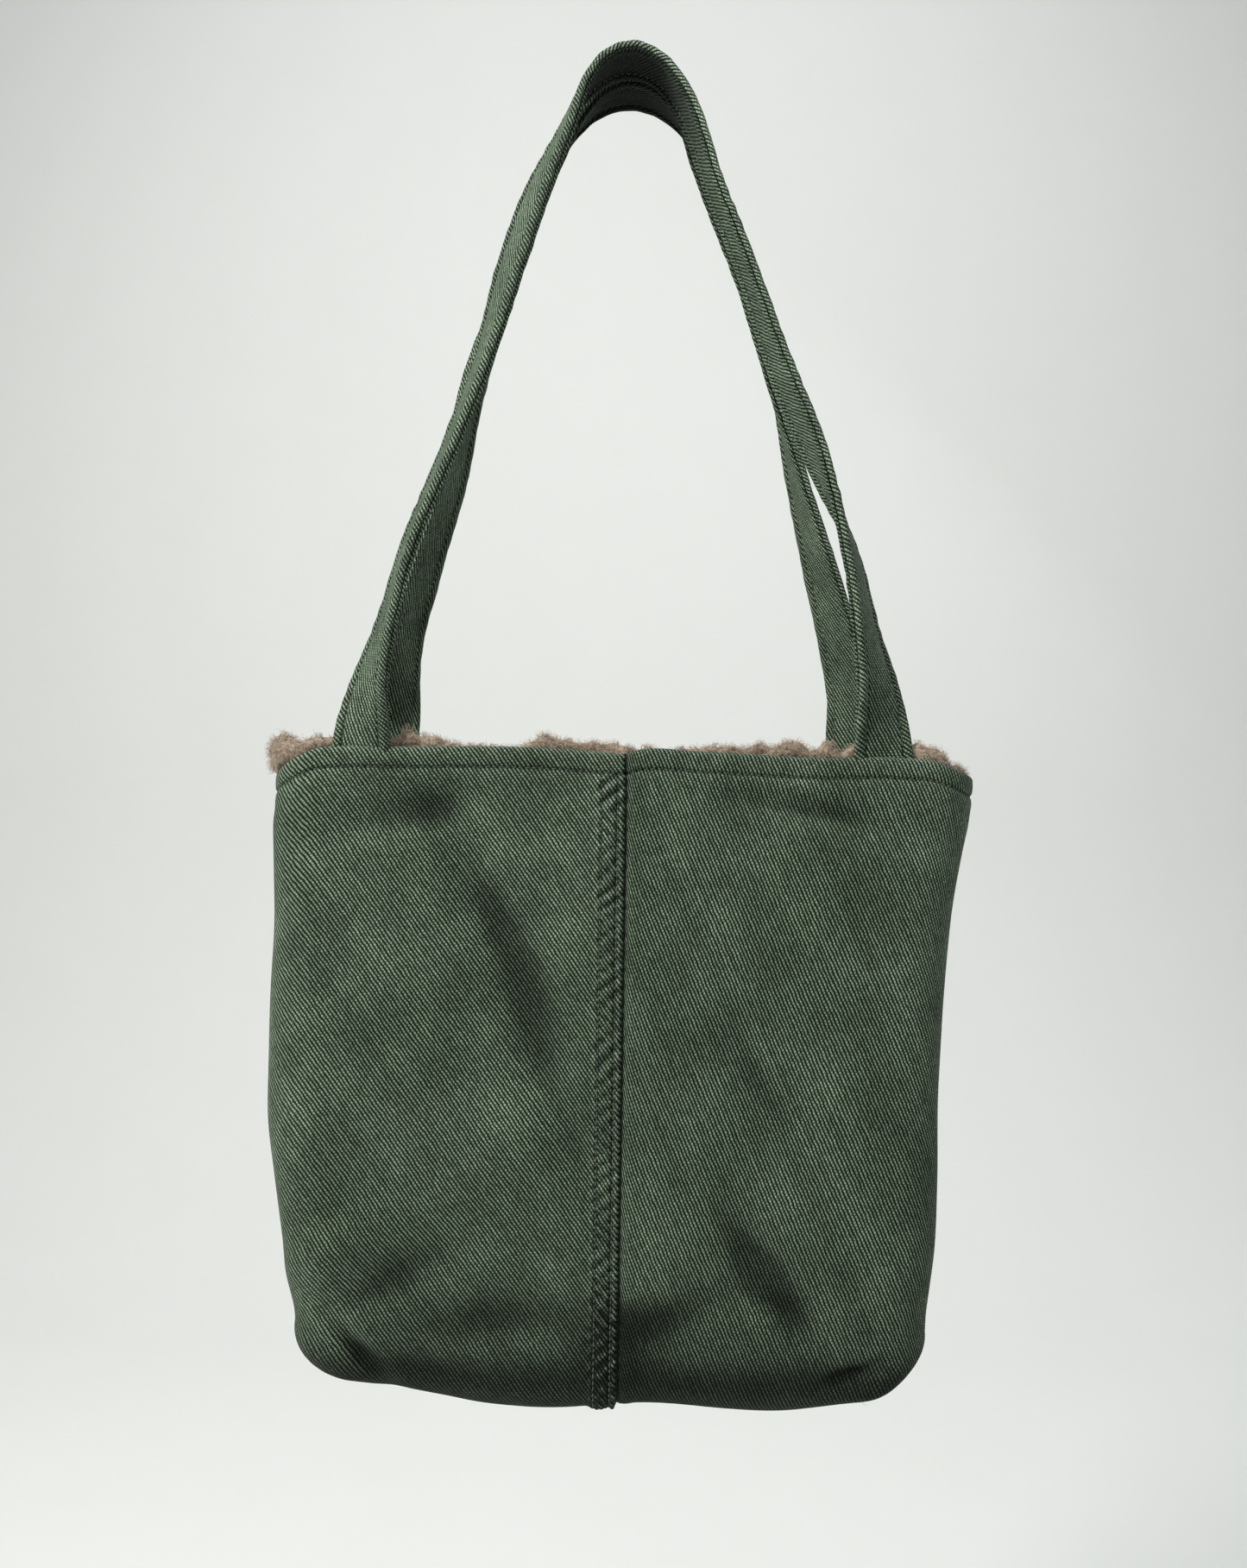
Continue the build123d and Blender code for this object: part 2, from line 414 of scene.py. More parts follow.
def twill_material():
    """Heavy washed twill: raised diagonal yarns, each a chain of short floats, over dark grooves.

    The cloth map's first number is the distance across the diagonals and its second the distance
    along them, both in millimetres.
    """
    n = Nodes("green_twill")
    cloth = n.add("ShaderNodeUVMap", uv_map="cloth").outputs["UV"]
    wobble = n.noise(cloth, 0.22, 2.0)
    parts = n.add("ShaderNodeSeparateXYZ", {0: cloth})
    across = n.math("ADD", parts.outputs[0], n.math("MULTIPLY", n.math("SUBTRACT", wobble, 0.5), 1.1))
    along = parts.outputs[1]
    line = n.math("DIVIDE", across, TWILL_PITCH)
    row = n.math("ROUND", line)
    from_ridge = n.math("ABSOLUTE", n.math("SUBTRACT", line, row))
    ridge = n.ramp(from_ridge, 0.40, 0.09)
    shift = n.math("MULTIPLY", row, 0.37)
    bead = n.math("FRACT", n.math("ADD", n.math("DIVIDE", along, 1.55), shift))
    bead = n.ramp(n.math("ABSOLUTE", n.math("SUBTRACT", bead, 0.5)), 0.5, 0.12)
    yarn = n.add("ShaderNodeTexWhiteNoise", {"W": row}, noise_dimensions="1D").outputs["Value"]
    float_id = n.math("FLOOR", n.math("ADD", n.math("DIVIDE", along, 1.55), shift))
    each = n.add("ShaderNodeCombineXYZ", {0: row, 1: float_id}).outputs[0]
    each = n.add("ShaderNodeTexWhiteNoise", {"Vector": each}, noise_dimensions="2D").outputs["Value"]
    height = n.math("MULTIPLY", ridge, n.math("MULTIPLY_ADD", bead, 0.60, 0.40))

    lint = n.noise(cloth, 1.7, 3.0, 0.75)
    patch = n.noise(cloth, 0.016, 3.0, 0.55)
    blotch = n.noise(cloth, 0.07, 3.0, 0.6)
    shading = n.noise(cloth, 0.030, 3.0, 0.6)
    # Per-point tone from the mesh. Above zero it lightens the cloth: real wear on rolled edges and painted
    # highlights. Below zero it darkens it: painted shade in grooves, seams and dents, under the straps' arch
    # and towards the base.
    wear_and_painted_light = n.add("ShaderNodeAttribute", attribute_name="wear_and_painted_light").outputs["Fac"]

    light = n.mix(n.ramp(patch, 0.35, 0.68), rgb(0.220, 0.304, 0.206), rgb(0.288, 0.380, 0.270))
    light = n.mix(n.ramp(blotch, 0.58, 0.80), light, rgb(0.248, 0.308, 0.204))
    # Painted highlights mixed with real rubbed wear: the lighter colours where the per-point tone is above
    # zero.
    rubbed_and_lit = n.math("MAXIMUM", wear_and_painted_light, 0.0)
    light = n.mix(n.math("MULTIPLY", rubbed_and_lit, 1.0, clamp=True), light, rgb(0.39, 0.48, 0.37))
    # The groove colour, nearly black: the cloth's own dark yarn together with painted shade in the twill's
    # grooves.
    dark = n.mix(n.ramp(patch, 0.3, 0.7), rgb(0.0008, 0.0040, 0.0007), rgb(0.0024, 0.0070, 0.0019))
    dark = n.mix(n.math("MULTIPLY", rubbed_and_lit, 0.5, clamp=True), dark, rgb(0.030, 0.038, 0.027))
    tone = n.math("MULTIPLY_ADD", yarn, 0.30, 0.82)
    tone = n.math("MULTIPLY", tone, n.math("MULTIPLY_ADD", each, 0.55, 0.70))
    tone = n.math("MULTIPLY", tone, n.ramp(lint, 0.30, 0.74, 0.34, 1.66))
    level = n.math("MULTIPLY", height, tone)
    colour = n.mix(n.math("MULTIPLY", level, 1.0, clamp=True), dark, light)
    # Painted shade: the colour is darkened down to a tenth where the per-point tone is below zero.
    shade = n.math("MULTIPLY", n.ramp(wear_and_painted_light, -1.0, 0.0, 0.10, 1.0), n.ramp(shading, 0.32, 0.70, 0.76, 1.06))
    n.put(n.shader.inputs["Base Color"], n.mix(1.0, colour, shade, "MULTIPLY"))
    n.put(n.shader.inputs["Roughness"], n.ramp(lint, 0.2, 0.8, 0.78, 0.95))
    n.shader.inputs["Sheen Weight"].default_value = 0.06
    n.shader.inputs["Sheen Roughness"].default_value = 0.45
    n.shader.inputs["Sheen Tint"].default_value = rgb(0.72, 0.80, 0.72)
    n.shader.inputs["Specular IOR Level"].default_value = 0.10
    relief = n.math("ADD", height, n.math("MULTIPLY", lint, 0.30))
    bumps = n.add("ShaderNodeBump", {"Height": relief, "Distance": 0.42 * MM, "Strength": 1.0})
    n.put(n.shader.inputs["Normal"], bumps.outputs[0])
    return n.material


def thread_material():
    n = Nodes("green_thread")
    place = n.add("ShaderNodeTexCoord").outputs["Object"]
    fibre = n.noise(place, 1500.0, 2.0)
    fade = n.noise(place, 60.0, 2.0)
    colour = n.mix(n.ramp(fade, 0.35, 0.7), rgb(0.022, 0.034, 0.021), rgb(0.060, 0.078, 0.054))
    colour = n.mix(n.ramp(fibre, 0.35, 0.75), colour, rgb(0.085, 0.105, 0.078))
    n.put(n.shader.inputs["Base Color"], colour)
    n.put(n.shader.inputs["Roughness"], n.ramp(fibre, 0.2, 0.8, 0.55, 0.8))
    n.shader.inputs["Sheen Weight"].default_value = 0.15
    bumps = n.add("ShaderNodeBump", {"Height": fibre, "Distance": 0.08 * MM, "Strength": 0.6})
    n.put(n.shader.inputs["Normal"], bumps.outputs[0])
    return n.material


def pile_ground_material():
    n = Nodes("pile_ground")
    place = n.add("ShaderNodeTexCoord").outputs["Object"]
    curls = n.noise(place, 420.0, 4.0, 0.65)
    clump = n.noise(place, 150.0, 2.0)
    colour = n.mix(n.ramp(curls, 0.32, 0.72), rgb(0.10, 0.062, 0.042), rgb(0.35, 0.280, 0.205))
    colour = n.mix(n.ramp(clump, 0.4, 0.7, 0.0, 0.6), colour, rgb(0.42, 0.33, 0.255))
    n.put(n.shader.inputs["Base Color"], colour)
    n.put(n.shader.inputs["Roughness"], n.ramp(curls, 0.2, 0.8, 0.85, 1.0))
    n.shader.inputs["Sheen Weight"].default_value = 0.4
    n.shader.inputs["Sheen Tint"].default_value = rgb(0.9, 0.75, 0.65)
    relief = n.math("ADD", curls, clump)
    bumps = n.add("ShaderNodeBump", {"Height": relief, "Distance": 1.2 * MM, "Strength": 1.0})
    n.put(n.shader.inputs["Normal"], bumps.outputs[0])
    return n.material


def fibre_material(name, colour):
    """One dyed tone of the pile's fibres; the pile's variation comes from mixing tones by fibre."""
    n = Nodes(name)
    n.shader.inputs["Base Color"].default_value = colour
    n.shader.inputs["Roughness"].default_value = 0.62
    n.shader.inputs["Sheen Weight"].default_value = 0.35
    n.shader.inputs["Sheen Tint"].default_value = rgb(0.95, 0.80, 0.70)
    n.shader.inputs["Specular IOR Level"].default_value = 0.35
    return n.material


twill = twill_material()
thread = thread_material()
pile_ground = pile_ground_material()
fibres = [
    fibre_material("pile_fibre_rose", rgb(0.40, 0.320, 0.240)),
    fibre_material("pile_fibre_tan", rgb(0.49, 0.408, 0.310)),
    fibre_material("pile_fibre_brown", rgb(0.28, 0.202, 0.146)),
    fibre_material("pile_fibre_light", rgb(0.59, 0.505, 0.41)),
]


# ---------------------------------------------------------------- outer panels

# The lean of the twill below +X on each panel, in degrees
GRAIN = {"outer_front_left": 54.0, "outer_front_right": 65.5,
         "outer_back_left": 65.5, "outer_back_right": 54.0}


def has_fold(side, face):
    """The felled allowance lies on the left panel of each face, seen from outside it."""
    return side == face


def fold_profile(out):
    """Height of the stitched-down allowance over its panel, from its folded edge outwards."""
    ramp = FOLD_HEIGHT * (1 - smooth(out, FOLD_ROWS[1] - 0.4, FOLD_WIDTH + 1.2))
    grooves = 0.75 * bump(out, FOLD_ROWS[0], 0.75) + 0.65 * bump(out, FOLD_ROWS[1], 0.9)
    edge_rope = 0.35 * bump(out, 1.3, 1.0)
    rolled = 2.6 * (1 - smooth(out, -0.9, 1.1))
    return ramp - grooves + edge_rope - rolled


def rim_profile(down):
    """Height of the turned rim's puffed band, with the groove of its stitching."""
    band = 0.75 * np.sin(np.clip(down / RIM_BAND, 0, 1) * math.pi) ** 0.7
    groove = 0.9 * bump(down, RIM_BAND, 0.8)
    puff = 0.25 * bump(down, RIM_BAND + 4, 3.0)
    return np.where(down < RIM_BAND, band, 0) - groove + puff


# Soft dents and swells of each face: centre, lean, half sizes and depth
CREASES = {
    -1: [(-95, -379, 16, 50, 12, -4.0), (-62, -428, -60, 60, 13, -5.0), (-30, -520, -70, 66, 12, -4.6),
         (-112, -470, 60, 110, 30, 2.2), (-75, -560, 40, 75, 18, 2.6), (-116, -612, 32, 46, 12, -4.8),
         (-135, -592, 35, 34, 9, 1.8), (-62, -628, 8, 55, 14, -2.6), (90, -374, -16, 42, 9, -6.8),
         (42, -400, -60, 45, 14, 1.8), (110, -430, -66, 80, 22, 2.0), (60, -500, -52, 70, 12, -3.4),
         (74, -560, -60, 60, 18, 2.0), (34, -622, 24, 46, 15, -4.2), (72, -602, -52, 52, 11, -4.8),
         (112, -628, 40, 44, 14, 2.0), (130, -480, -78, 70, 12, -2.0), (-146, -655, -35, 26, 9, 4.0),
         (138, -650, 28, 24, 9, 3.5), (120, -651, 20, 17, 3.6, -3.6), (126, -661, 20, 14, 5, 2.2),
        (-123, -645, -48, 20, 5.5, -3.8), (-141, -632, 20, 18, 9, 1.6), (-95, -652, -10, 30, 8, -2.4)],
    1: [(90, -375, -8, 60, 14, -3.6), (-95, -378, 8, 55, 13, -3.6), (100, -610, -25, 50, 13, -3.2),
        (-105, -625, 20, 50, 13, -3.2), (-60, -500, 50, 90, 22, 2.4), (75, -500, -48, 90, 22, 2.4),
        (-20, -440, 66, 66, 13, -2.8), (40, -560, -60, 60, 12, -2.8)],
}


def broad_shape(face, x, z):
    """The soft swells and dents of the hanging cloth, outward positive."""
    total = 1.0 * waves(x, z, 105, 11 if face < 0 else 23)
    for crease in CREASES[face]:
        total += dent(x, z, *crease)
    return total


def side_shape(side, y, z):
    """How far each side of the bag is drawn in, as it folds when the bag hangs."""
    span = smooth(z, -668, -600) * (1 - smooth(z, -420, -372))
    if side > 0:
        low = 9.5 * bump(y, -14, 15) * bump(z, -560, 85)
        return -(low + 3.5 * bump(y, 2, 12)) * span
    return -4.5 * bump(y, 2, 14) * span - 1.8 * bump(y, -20, 8) * bump(z, -590, 50)


def puckers(down, out, seed):
    """Irregular puckers that the stitching draws up along a felled seam, about one unit high."""
    drift = 1.6 * waves(down, out * 0, 34, seed)
    slanted = np.sin(math.tau * (down - 0.9 * out) / 8.4 + drift)
    crossed = np.sin(math.tau * (down + 0.7 * out) / 5.7 + 1.3 * drift)
    share = 0.5 + 0.35 * waves(down, out * 0, 21, seed + 1)
    return (slanted * share + crossed * (1 - share)) * (1 - smooth(out, 12, 15.5)) * smooth(out, -1, 1)


def panel_relief(side, face, down, out, points, rows):
    """Offset of every point along its normal, and a tone for its colour: real wear, painted highlights and
    painted shade.
    """
    x, z = points[..., 0], points[..., 2]
    full = quadrant_length(side, np.maximum(z, base_z + BASE_ROUND))[2]
    to_side = np.maximum(full - out, 0)
    turn_in = np.array([row[2] for row in rows])[:, None]
    outside = smooth(turn_in * np.ones_like(x), -RIM_ROLL, 0)
    settle = smooth(down, *SETTLE)
    offset = broad_shape(face, x, z) * settle
    offset += rim_profile(down) * outside
    offset += (0.28 * np.sin(out / 4.3 + 2 * waves(out, 0 * out, 35, 3))
               * bump(down, RIM_BAND + 3.5, 4.5) * outside)
    offset -= 0.9 * bump(to_side, 0, 1.3) * smooth(down, RIM_BAND, RIM_BAND + 4)
    # Lighter along the rim's rolled top edge (real wear and painted highlight), along the puff below the
    # stitching, and on the cloth turned inside.
    wear_and_painted_light = 0.40 * bump(down, 0.6, 2.4) * outside + 0.16 * bump(down, 14, 2.5) + 0.25 * (1 - outside)
    # Painted shade in the groove of the rim's stitching.
    wear_and_painted_light -= 0.85 * bump(down, RIM_BAND, 0.65) * outside
    # Painted shade in the side seam's groove.
    wear_and_painted_light -= 0.9 * bump(to_side, 0, 1.2)
    if has_fold(side, face):
        start = smooth(down, RIM_BAND - 0.5, RIM_BAND + 1.5)
        under_rim = 0.35 * (1 - smooth(out, 10, 17))
        high = puckers(down, out, 5)
        offset += (fold_profile(out) + PUCKER_HEIGHT * high) * start
        offset += under_rim * (1 - start) * outside - 2.4 * (1 - smooth(out, -0.9, 1.1)) * (1 - start)
        # Painted light and shade on the puckers, with crests lighter and hollows darker, and a painted
        # highlight along the folded edge.
        lit = 0.42 * smooth(high, 0.1, 0.9) - 0.70 * smooth(-high, 0.1, 0.8) + 0.34 * bump(out, 1.1, 0.9)
        wear_and_painted_light += start * lit * (1 - smooth(out, 12.5, 15))
        # Painted shade: the two stitch rows are drawn as dark lines, and the cloth rolled under the folded
        # edge gets a painted shadow.
        row_shade = np.maximum(bump(out, FOLD_ROWS[0], 0.65), bump(out, FOLD_ROWS[1], 0.75)) * start
        wear_and_painted_light = wear_and_painted_light * (1 - row_shade) - 0.9 * row_shade - 1.4 * (1 - smooth(out, -0.6, 0.5))
    else:
        offset -= 0.7 * (1 - smooth(out, 0, 2.0)) - 0.5 * bump(out, 5, 3.0)
        # Painted shadow of the folded edge on the panel beneath it.
        wear_and_painted_light -= 1.3 * (1 - smooth(out, 0.2, 1.6))
    # A lighter band about 30 mm in from each side seam, over the middle of the wall's height.
    rib = 0.5 * bump(to_side, 30, 5) * smooth(z, -640, -560) * (1 - smooth(z, -460, -400))
    wear_and_painted_light += rib * (0.7 if face < 0 else 0.4)
    # Painted shade towards the base, where the cloth turns under, with a slightly lighter line at the base's
    # edge.
    near_base = bump(z, base_z + 6, 7)
    wear_and_painted_light += 0.10 * near_base - 0.32 * smooth(-z, 600, 642) - 0.50 * smooth(-z, 636, 660)
    # Painted shade in the soft dents.
    wear_and_painted_light -= settle * outside * (0.62 * smooth(-broad_shape(face, x, z), 0.6, 5.0))
    return offset, np.clip(wear_and_painted_light, -1, 1)


panel_rim = {}


def make_panel(name):
    side = -1 if name.endswith("left") else 1
    face = -1 if "front" in name else 1
    rows = panel_rows()
    tuck = 0.8 if has_fold(side, face) else 3.2
    columns = panel_columns(tuck)
    points, down, out = panel_surface(side, face, rows, columns)
    flip = -side * face
    normal = grid_normals(points, flip)
    wall_start = next(i for i, row in enumerate(rows) if row[2] == 0) + 1
    normal[:wall_start] = normal[wall_start]
    offset, wear_and_painted_light = panel_relief(side, face, down, out, points, rows)
    turn_in = np.array([row[2] for row in rows])[:, None]
    inward = side_shape(side, points[..., 1], points[..., 2])
    outer = points + normal * (offset + turn_in)[..., None]
    outer[..., 0] += side * inward * smooth(np.abs(points[..., 0]), 110, 160)
    fine_normal = grid_normals(outer, flip)
    inner = outer - fine_normal * TWILL_THICK
    grain = math.radians(GRAIN[name])
    cloth_x = side * out * (1 if face < 0 else -1)
    roll_length = np.where(turn_in < 0, down + turn_in, down)
    drag = 0 if has_fold(side, face) else SEAM_DRAG * np.exp(-np.maximum(out, 0) / SEAM_DRAG_REACH)
    cloth_z = -roll_length - drag
    across = cloth_x * math.sin(grain) + cloth_z * math.cos(grain)
    along = cloth_x * math.cos(grain) - cloth_z * math.sin(grain)
    uv = np.stack([across, along], axis=-1).reshape(-1, 2)
    reverse = flip > 0
    vertices, faces = closed_sheet(outer, inner, reverse)
    obj = new_object(name + "_cloth", vertices, faces, np.concatenate([uv, uv]),
                     np.concatenate([wear_and_painted_light.ravel(), wear_and_painted_light.ravel() * 0 + 0.1]), twill)
    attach(obj, "bag")
    replaced = [name]
    if has_fold(side, face):
        replaced.append("front_seam_fold" if face < 0 else "back_seam_fold")
    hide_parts(*replaced)
    panel_rim[name] = {"outer": outer, "normal": fine_normal, "down": down, "out": out, "rows": rows,
                       "columns": columns, "side": side, "face": face}
    return obj


for panel_name in PANELS:
    make_panel(panel_name)


# ---------------------------------------------------------------- straps

# Stations up each leg of a strap: rise above its foot and distance from the bag's middle plane
RISE = (0, 24, 54, 94, 144, 194, 244, 284, 308, 330, 342)
OFF_PLANE = (36, 36, 35, 33, 29, 25, 22, 18.5, 16.5, 15, 14.9)
ARCH_RISE = 346.8
# Each leg's distance from the middle and turn of its width, in degrees, at those stations
LEGS = {
    "front_strap": (
        [(-127.5, 76), (-125, 45), (-117.5, 25), (-107, 20), (-88, 21), (-71, 24), (-57.5, 33), (-44.5, 30),
         (-34, 22), (-24.5, 12), (-14, 4)],
        [(129, 78), (127, 54), (121, 31), (112.5, 20), (95, -5), (75, -6), (57.5, -2), (42, -2), (34.5, -4),
         (24.5, -2), (14, 0)],
    ),
    "back_strap": (
        [(-126, 78), (-123.5, 44), (-120, 28), (-109.5, 23), (-94, 16), (-82.5, 8), (-65.5, -2), (-50, -15),
         (-40.5, -17), (-28, -12), (-16, -4)],
        [(127, 76), (125.5, 43), (119.5, 34), (108.5, 22), (94, 6), (80, -14), (65, -22), (48, -22),
         (37.5, -19), (28, -12), (16, -4)],
    ),
}
FACE_GRAIN, BAND_GRAIN = 62.0, 39.0
INNER_GRAIN = {"front_strap": 34.0, "back_strap": 61.0}
STRAP_STEP = 1.6


def strap_path(name):
    """Middle line of a strap and its two cross directions, evenly spaced from foot to foot."""
    face = -1 if name == "front_strap" else 1
    stations = []
    for leg_index, leg in enumerate(LEGS[name]):
        side = [(x, face * y, strap_z + rise, turn) for rise, y, (x, turn) in zip(RISE, OFF_PLANE, leg)]
        foot = side[0]
        splay = math.copysign(0.6, foot[0])
        tail = [(foot[0] + 2 * splay, face * 35.6, strap_z - 19, 88),
                (foot[0] + splay, face * 35.6, strap_z - 9, 84)]
        side = tail + side
        stations += side if leg_index == 0 else side[::-1]
        if leg_index == 0:
            stations.append((0, face * 14.9, strap_z + ARCH_RISE, 0))
    stations = np.array(stations, float)
    chord = np.concatenate([[0], np.cumsum(np.linalg.norm(np.diff(stations[:, :3], axis=0), axis=1))])
    fine = np.linspace(0, chord[-1], 900)
    line = np.stack([curve(list(zip(chord, stations[:, k])), fine) for k in range(4)], axis=1)
    length = np.concatenate([[0], np.cumsum(np.linalg.norm(np.diff(line[:, :3], axis=0), axis=1))])
    even = np.linspace(0, length[-1], int(length[-1] / STRAP_STEP))
    line = np.stack([np.interp(even, length, line[:, k]) for k in range(4)], axis=1)
    place = line[:, :3]
    along = np.gradient(place, axis=0)
    along /= np.linalg.norm(along, axis=1, keepdims=True)
    level = np.stack([along[:, 2], 0 * even, -along[:, 0]], axis=1)
    level /= np.linalg.norm(level, axis=1, keepdims=True)
    swing = -face * np.radians(line[:, 3])[:, None]
    across = -np.cos(swing) * np.array([[0, 1, 0]]) + np.sin(swing) * level
    across -= (across * along).sum(axis=1, keepdims=True) * along
    across /= np.linalg.norm(across, axis=1, keepdims=True)
    return even, place, across, np.cross(across, along)


def strap_profile():
    """Outline of the strap's section as (across, off the face, region), front edge first.

    The outer cloth wraps each edge in a full roll, and a slit parts it from the inner cloth.
    Regions: 0 outer face, 1 edge bands, 2 inner layer.
    """
    half = STRAP_WIDTH / 2
    row = half - STRAP_ROW
    mid = STRAP_THICK / 2
    quarter = [(e, mid + 0.12 * math.cos(e / row * math.pi / 2), 0) for e in np.linspace(0, row - 0.9, 9)]
    quarter += [(row - 0.35, mid - 0.25, 0), (row, mid - 0.62, 1), (row + 0.35, mid - 0.15, 1)]
    quarter += [(row + 0.9, mid + 0.35, 1), (row + 1.8, mid + 0.62, 1)]
    centre_e, centre_n, radius = half - 1.9, mid + 0.7 - 1.9, 1.9
    for angle in np.linspace(100, -52, 11):
        turn = math.radians(angle)
        quarter.append((centre_e + radius * math.cos(turn), centre_n + radius * math.sin(turn), 1))
    slit = centre_n - radius * math.sin(math.radians(60))
    quarter += [(half - 2.6, slit + 0.30, 1), (half - 2.7, slit - 0.12, 2)]
    centre_n = slit - 1.05
    for angle in np.linspace(62, -90, 8):
        turn = math.radians(angle)
        quarter.append((half - 1.45 + 0.85 * math.cos(turn), centre_n + 0.85 * math.sin(turn), 2))
    low = centre_n - 0.85
    quarter += [(half - 3.0, low - 0.10, 2), (row + 0.6, low, 2),
                (row, -mid + 0.35, 2), (row - 0.6, -mid - 0.02, 2)]
    quarter += [(e, -mid, 2) for e in np.linspace(row - 1.5, 0, 7)]
    mirror = [(-e, n, region) for e, n, region in quarter[-2:0:-1]]
    loop = quarter + mirror
    start = next(i for i, (e, n, region) in enumerate(loop) if e < 0 and region == 1)
    return loop[start:] + loop[:start]


def make_strap(name):
    even, place, across, out = strap_path(name)
    profile = strap_profile()
    e = np.array([p[0] for p in profile])
    off = np.array([p[1] for p in profile])
    region = np.array([p[2] for p in profile])
    count, rows = len(profile), len(even)
    seed = 31 if name == "front_strap" else 47
    edge_wave = 0.45 * waves(even, 0 * even, 60, seed)[:, None]
    band = smooth(np.abs(e), STRAP_WIDTH / 2 - STRAP_ROW - 1.0, STRAP_WIDTH / 2)[None, :]
    ripple = 0.16 * waves(even[:, None] + 0 * e, e[None, :] + 0 * even[:, None], 9, seed + 1)
    pucker = (0.13 * np.sin(even[:, None] * math.tau / 3.1)
              * bump(np.abs(e), STRAP_WIDTH / 2 - STRAP_ROW, 1.6)[None, :])
    cup = 0.5 * waves(even, 0 * even, 150, seed + 2)[:, None] * (1 - (e[None, :] / 14.5) ** 2)
    share = np.clip(even / even[-1], 0, 1)
    tight = 1 - 0.045 * bump(share, 0.5, 0.05)[:, None]
    width = (e[None, :] * tight + edge_wave * band * np.sign(e)[None, :])
    lift = off[None, :] + ripple + cup + pucker * np.sign(off)[None, :]
    points = place[:, None, :] + across[:, None, :] * width[..., None] + out[:, None, :] * lift[..., None]
    index = np.arange(rows * count).reshape(rows, count)
    a, b = index[:-1], np.roll(index, -1, axis=1)[:-1]
    c, d = np.roll(index, -1, axis=1)[1:], index[1:]
    faces = np.stack([a, b, c, d], axis=-1).reshape(-1, 4)
    girth = np.concatenate([[0], np.cumsum(np.hypot(np.diff(e), np.diff(off)))])
    girth_next = np.append(girth[1:], girth[-1] + math.hypot(e[0] - e[-1], off[0] - off[-1]))
    grain = np.radians(np.choose(region, [FACE_GRAIN, BAND_GRAIN, INNER_GRAIN[name]]))

    def cloth(girth, s):
        return np.stack([s * np.cos(grain) + girth * np.sin(grain),
                         girth * np.cos(grain) - s * np.sin(grain)], -1)

    here, there = even[:-1, None], even[1:, None]
    corners = np.stack([cloth(girth, here), cloth(girth_next, here),
                        cloth(girth_next, there), cloth(girth, there)], 2)
    # Lighter along each rolled edge; painted shade in the grooves of the stitch rows.
    wear_and_painted_light = (0.55 * bump(np.hypot(np.abs(e) - 14.2, off - 0.4), 0, 1.0)
            - 0.7 * bump(np.abs(e), 9.5, 0.55) * (region < 2))
    # Painted shade in the slit between the outer and inner cloth.
    slit_points = (np.abs(e) > 11.5) & (np.abs(e) < 12.2) & (off < 0)
    wear_and_painted_light = np.where(slit_points, -1.0, wear_and_painted_light)
    # Painted shade: the inner layer is near-black under the arch's top, and the outer layers are slightly
    # lighter there.
    arch_light_and_shade = np.where(region == 2, -0.95, 0.10)
    wear_and_painted_light = wear_and_painted_light[None, :] + arch_light_and_shade[None, :] * bump(share, 0.5, 0.09)[:, None]
    top = points.reshape(-1, 3)
    first, last = index[0][::-1], index[-1]
    obj = new_object(name + "_cloth", top, [faces, first[None, :], last[None, :]],
                     material=twill, wear_and_painted_light=np.clip(wear_and_painted_light, -1, 1).ravel())
    layer = obj.data.uv_layers.new(name="cloth")
    loops = np.concatenate([corners.reshape(-1, 2), np.zeros((2 * count, 2))])
    layer.uv.foreach_set("vector", loops.ravel())
    side = "front" if name == "front_strap" else "back"
    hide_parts(name, side + "_strap_end_left", side + "_strap_end_right")
    return obj, (even, place, across, out)


# ---------------------------------------------------------------- stitches

STITCH, STITCH_GAP, THREAD = 2.5, 0.75, 0.30


def stitch_mesh(name, rows, material):
    """Separate stitches along rows; a row is (points, normals), evenly spaced in millimetres.

    Each stitch rises from the cloth, runs along it and dives back in.
    """
    points, faces, total = [], [], 0
    for path, normal in rows:
        length = np.concatenate([[0], np.cumsum(np.linalg.norm(np.diff(path, axis=0), axis=1))])
        starts = np.arange(0.5, length[-1] - STITCH, STITCH + STITCH_GAP)
        for start in starts:
            at = start + STITCH * np.array([0, 0.1, 0.3, 0.5, 0.7, 0.9, 1.0])
            lift = THREAD * np.array([-1.3, -0.35, 0.35, 0.5, 0.35, -0.35, -1.3])
            thick = THREAD * np.array([0.55, 0.9, 1.05, 1.1, 1.05, 0.9, 0.55])
            spot = np.stack([np.interp(at, length, path[:, k]) for k in range(3)], 1)
            up = np.stack([np.interp(at, length, normal[:, k]) for k in range(3)], 1)
            up /= np.linalg.norm(up, axis=1, keepdims=True)
            along = spot[-1] - spot[0]
            along /= np.linalg.norm(along)
            aside = np.cross(along, up)
            spot = spot + up * lift[:, None]
            for ring in range(7):
                for corner in range(6):
                    turn = math.tau * corner / 6
                    spoke = up[ring] * math.cos(turn) + aside[ring] * math.sin(turn)
                    points.append(spot[ring] + thick[ring] * spoke)
            index = total + np.arange(42).reshape(7, 6)
            around = np.roll(index, -1, axis=1)
            quads = np.stack([index[:-1], around[:-1], around[1:], index[1:]], -1).reshape(-1, 4)
            faces.append(quads)
            faces.append(np.array([[index[0][k] for k in (0, 3, 2, 1)], [index[0][k] for k in (0, 5, 4, 3)],
                                   [index[6][k] for k in (0, 1, 2, 3)], [index[6][k] for k in (0, 3, 4, 5)]]))
            total += 42
    obj = new_object(name, np.array(points), np.concatenate(faces), material=material)
    return obj


